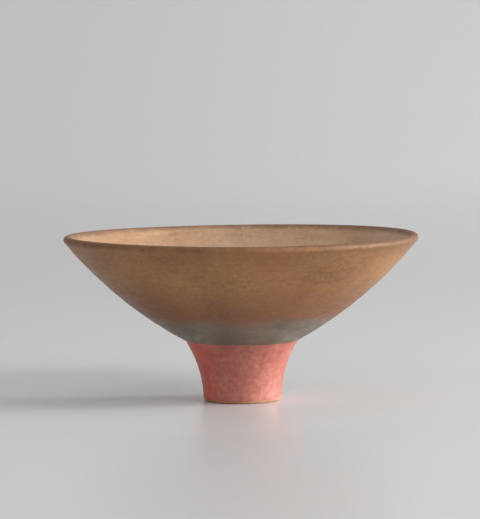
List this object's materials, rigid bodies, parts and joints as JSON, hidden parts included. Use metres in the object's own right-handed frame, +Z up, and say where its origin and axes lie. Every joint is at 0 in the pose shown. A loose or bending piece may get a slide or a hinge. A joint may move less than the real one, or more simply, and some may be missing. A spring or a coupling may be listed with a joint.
{
  "type": "terra sigillata bowl",
  "caption": "Wide conical ceramic bowl on a drawn-in hollow pedestal foot, coated in burnished slip, for serving or display.",
  "frame": {"origin": "centre of the foot ring, on the surface the bowl stands on", "axes": "+Z up along the bowl's axis; +X to the right and +Y away from the viewer in the picture"},
  "size_m": [0.1946, 0.1946, 0.0913],
  "materials": {
    "clay": "bare fired clay, matt",
    "slip": "fired joining slip, matt",
    "tan_sigillata": "burnished, satin",
    "brown_sigillata": "burnished, satin",
    "smoked_sigillata": "smoked grey, satin",
    "red_sigillata": "lightly burnished, satin"
  },
  "bodies": {
    "root": {"bowl_body": "clay", "foot": "clay", "luting_slip": "slip", "inner_coat": "tan_sigillata", "outer_coat": "brown_sigillata", "band_coat": "smoked_sigillata", "foot_coat": "red_sigillata"}
  },
  "joints": []
}
